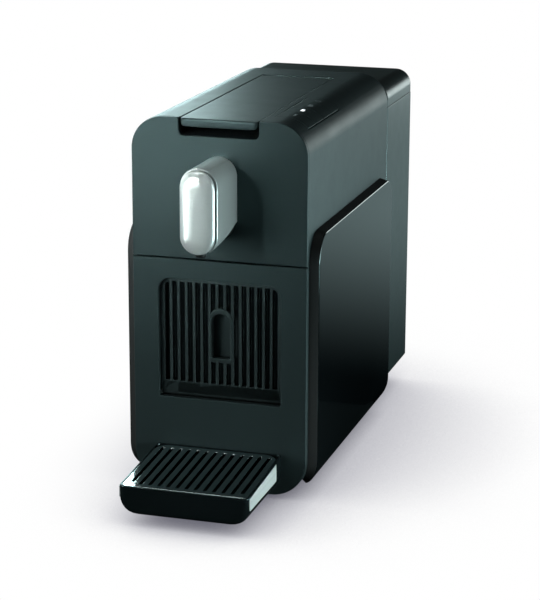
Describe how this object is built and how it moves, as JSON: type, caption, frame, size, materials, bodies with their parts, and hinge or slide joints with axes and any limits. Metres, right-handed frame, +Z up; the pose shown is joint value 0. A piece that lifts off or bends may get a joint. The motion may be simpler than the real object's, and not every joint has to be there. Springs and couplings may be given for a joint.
{
  "type": "pod coffee machine",
  "caption": "Slim free-standing pod coffee machine with a lever lid, fold-down cup shelf, capsule drawer, drip tray and lift-off rear water tank.",
  "frame": {"origin": "centre of the whole machine's footprint, on the surface it stands on", "axes": "+Z up, front face and spout towards -Y, +X to the right as seen from the front"},
  "size_m": [0.1318, 0.3652, 0.2532],
  "materials": {
    "housing_black": "fine satin-matte charcoal",
    "gloss_black": "high gloss",
    "tray_black": "satin gloss",
    "satin_silver": "satin silver",
    "mirror_steel": "polished",
    "inner_black": "plain moulded",
    "tank_smoke": "smoked satin, slightly translucent",
    "button_black": "soft matte with lit symbols",
    "grey_plastic": "plain moulded",
    "white_plastic": "plain moulded",
    "rubber_black": "matte",
    "silicone": "translucent silicone",
    "steel": "turned",
    "cast_aluminium": "cast",
    "brass": "turned",
    "board_green": "solder mask"
  },
  "bodies": {
    "root": {"base_plate": "steel", "base_tray": "housing_black", "brew_frame_left": "inner_black", "brew_frame_right": "inner_black", "brew_inlet_tube": "brass", "button_carrier": "inner_black", "button_switches": "white_plastic", "capsule_chute": "inner_black", "coffee_funnel": "white_plastic", "control_board": "board_green", "cord_gland": "inner_black", "coupling_seal": "rubber_black", "feet": "rubber_black", "flow_meter": "white_plastic", "frame_spacers": "steel", "front_fascia": "housing_black", "hose_pressure": "silicone", "hose_suction": "silicone", "hose_supply": "silicone", "injector_block": "grey_plastic", "injector_seal": "rubber_black", "lid_well": "inner_black", "main_housing": "housing_black", "outlet_pipe": "silicone", "pump_barrel": "brass", "pump_bracket": "steel", "pump_coil": "white_plastic", "pump_rubbers": "rubber_black", "rear_cover": "inner_black", "screws": "steel", "side_panel_left": "gloss_black", "side_panel_right": "gloss_black", "spout_cap": "satin_silver", "spout_core": "inner_black", "spout_shell": "satin_silver", "tank_coupling": "grey_plastic", "tank_dock": "inner_black", "thermoblock": "cast_aluminium", "thermostat": "steel"},
    "lid": {"lid_panel": "housing_black", "lid_frame": "inner_black", "lid_cranks": "steel", "lid_axle": "steel"},
    "cage": {"capsule_cage": "grey_plastic"},
    "button_espresso": {"button_espresso": "button_black"},
    "button_lungo": {"button_lungo": "button_black"},
    "button_tea": {"button_tea": "button_black"},
    "button_power": {"button_power": "button_black"},
    "drawer": {"drawer_front": "housing_black", "recess_pan": "inner_black", "shelf_pin": "steel", "drawer_floor": "grey_plastic", "capsule_bin": "inner_black"},
    "shelf": {"cup_shelf": "inner_black"},
    "tray": {"drip_tray": "tray_black", "tray_side_plates": "satin_silver"},
    "grille": {"drip_grille": "mirror_steel"},
    "tank": {"water_tank": "tank_smoke", "tank_valve": "grey_plastic"},
    "tank_lid": {"tank_lid": "tank_smoke"}
  },
  "joints": [
    {"name": "lid_hinge", "type": "hinge", "parent": "root", "child": "lid", "pos_m": [0, 0.0676, 0.2483], "axis": [-1, 0, 0], "range_deg": [0, 85]},
    {"name": "cage_slide", "type": "slide", "parent": "root", "child": "cage", "axis": [0, -1, 0], "range_m": [0, 0.03]},
    {"name": "press_espresso", "type": "slide", "parent": "root", "child": "button_espresso", "axis": [-0.342, 0, -0.9397], "range_m": [0, 0.001], "stiffness_N_per_m": 400},
    {"name": "press_lungo", "type": "slide", "parent": "root", "child": "button_lungo", "axis": [-0.342, 0, -0.9397], "range_m": [0, 0.001], "stiffness_N_per_m": 400},
    {"name": "press_tea", "type": "slide", "parent": "root", "child": "button_tea", "axis": [-0.342, 0, -0.9397], "range_m": [0, 0.001], "stiffness_N_per_m": 400},
    {"name": "press_power", "type": "slide", "parent": "root", "child": "button_power", "axis": [-0.342, 0, -0.9397], "range_m": [0, 0.001], "stiffness_N_per_m": 400},
    {"name": "drawer_slide", "type": "slide", "parent": "root", "child": "drawer", "axis": [0, -1, 0], "range_m": [0, 0.16]},
    {"name": "shelf_fold", "type": "hinge", "parent": "drawer", "child": "shelf", "pos_m": [0, -0.1019, 0.0673], "axis": [1, 0, 0], "range_deg": [0, 90]},
    {"name": "tray_slide", "type": "slide", "parent": "drawer", "child": "tray", "axis": [0, -1, 0], "range_m": [0, 0.09]},
    {"name": "grille_lift", "type": "slide", "parent": "tray", "child": "grille", "axis": [0, 0, 1], "range_m": [0, 0.03]},
    {"name": "tank_lift", "type": "slide", "parent": "root", "child": "tank", "axis": [0, 0, 1], "range_m": [0, 0.235]},
    {"name": "tank_lid_hinge", "type": "hinge", "parent": "tank", "child": "tank_lid", "pos_m": [0, 0.1826, 0.2288], "axis": [-1, 0, 0], "range_deg": [0, 95]}
  ],
  "couplings": [
    {"joint": "cage_slide", "follows": "lid_hinge", "m_per_rad": 0.02004}
  ]
}
